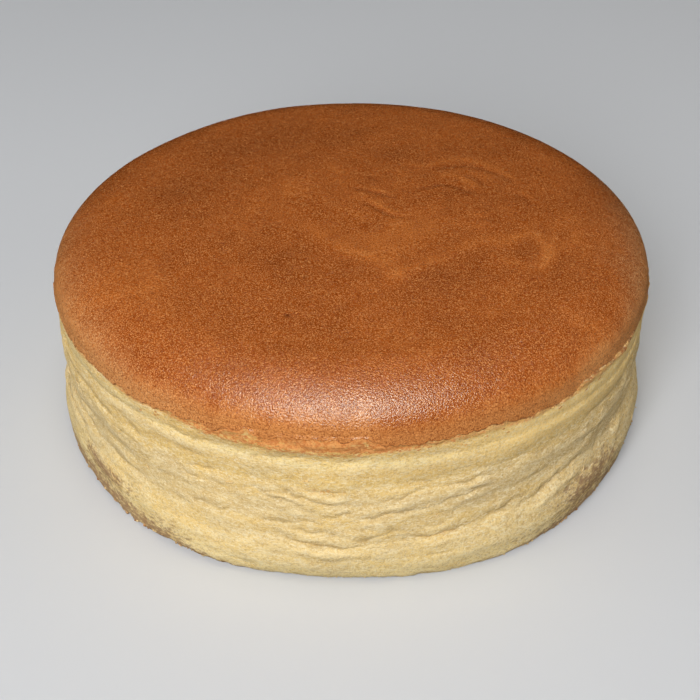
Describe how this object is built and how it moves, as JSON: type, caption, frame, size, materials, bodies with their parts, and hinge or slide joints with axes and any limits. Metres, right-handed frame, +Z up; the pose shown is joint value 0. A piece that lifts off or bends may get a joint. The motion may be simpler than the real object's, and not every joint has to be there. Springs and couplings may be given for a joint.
{
  "type": "japanese cheesecake",
  "caption": "Whole round uncut cotton cheesecake with a smooth browned domed top and a pale wall in soft horizontal folds.",
  "frame": {"origin": "middle of the flat underside", "axes": "+Z up through the middle of the dome; -Y towards the front of the cake as pictured; +X to its right"},
  "size_m": [0.2042, 0.2038, 0.0764],
  "materials": {
    "browned_skin": "satin, finely pitted baked skin",
    "sponge": "matt, fine porous crumb"
  },
  "bodies": {
    "root": {"cheesecake": "browned_skin"}
  },
  "joints": []
}
